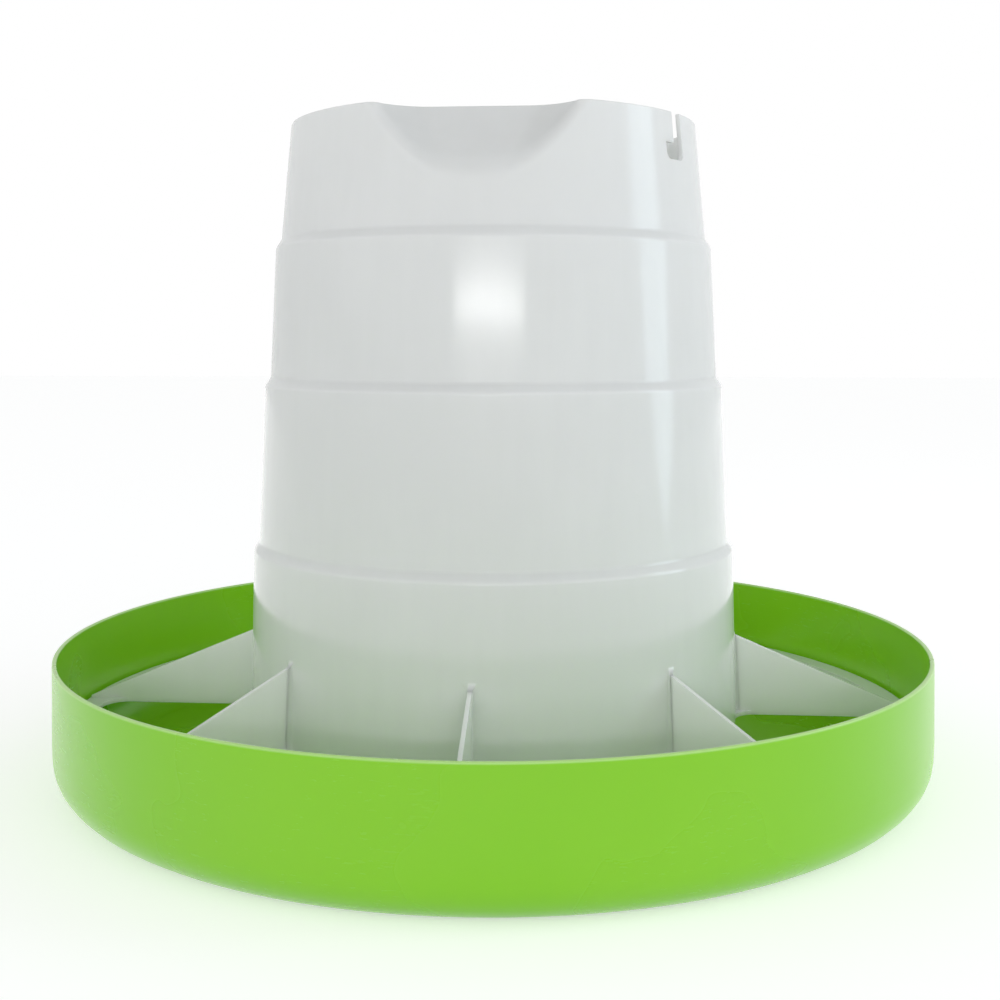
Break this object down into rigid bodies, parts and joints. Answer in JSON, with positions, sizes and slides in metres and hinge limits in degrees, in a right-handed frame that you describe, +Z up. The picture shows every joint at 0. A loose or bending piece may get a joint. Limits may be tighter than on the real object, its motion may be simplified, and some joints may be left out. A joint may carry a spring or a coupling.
{
  "type": "poultry feeder",
  "caption": "Free-standing gravity poultry feeder: tapered, stepped hopper with radial fins and a foot ring, standing in a round feed pan.",
  "frame": {"origin": "middle of the pan's flat underside, on the surface that the feeder stands on", "axes": "+Z up along the barrel's axis; -Y towards the front, through one flat of the rim and one fin"},
  "size_m": [0.362, 0.362, 0.2641],
  "materials": {
    "hopper_plastic": "natural milky polypropylene, translucent, soft gloss",
    "pan_plastic": "lime green polypropylene, soft gloss"
  },
  "bodies": {
    "root": {"hopper": "hopper_plastic", "pan": "pan_plastic"}
  },
  "joints": []
}
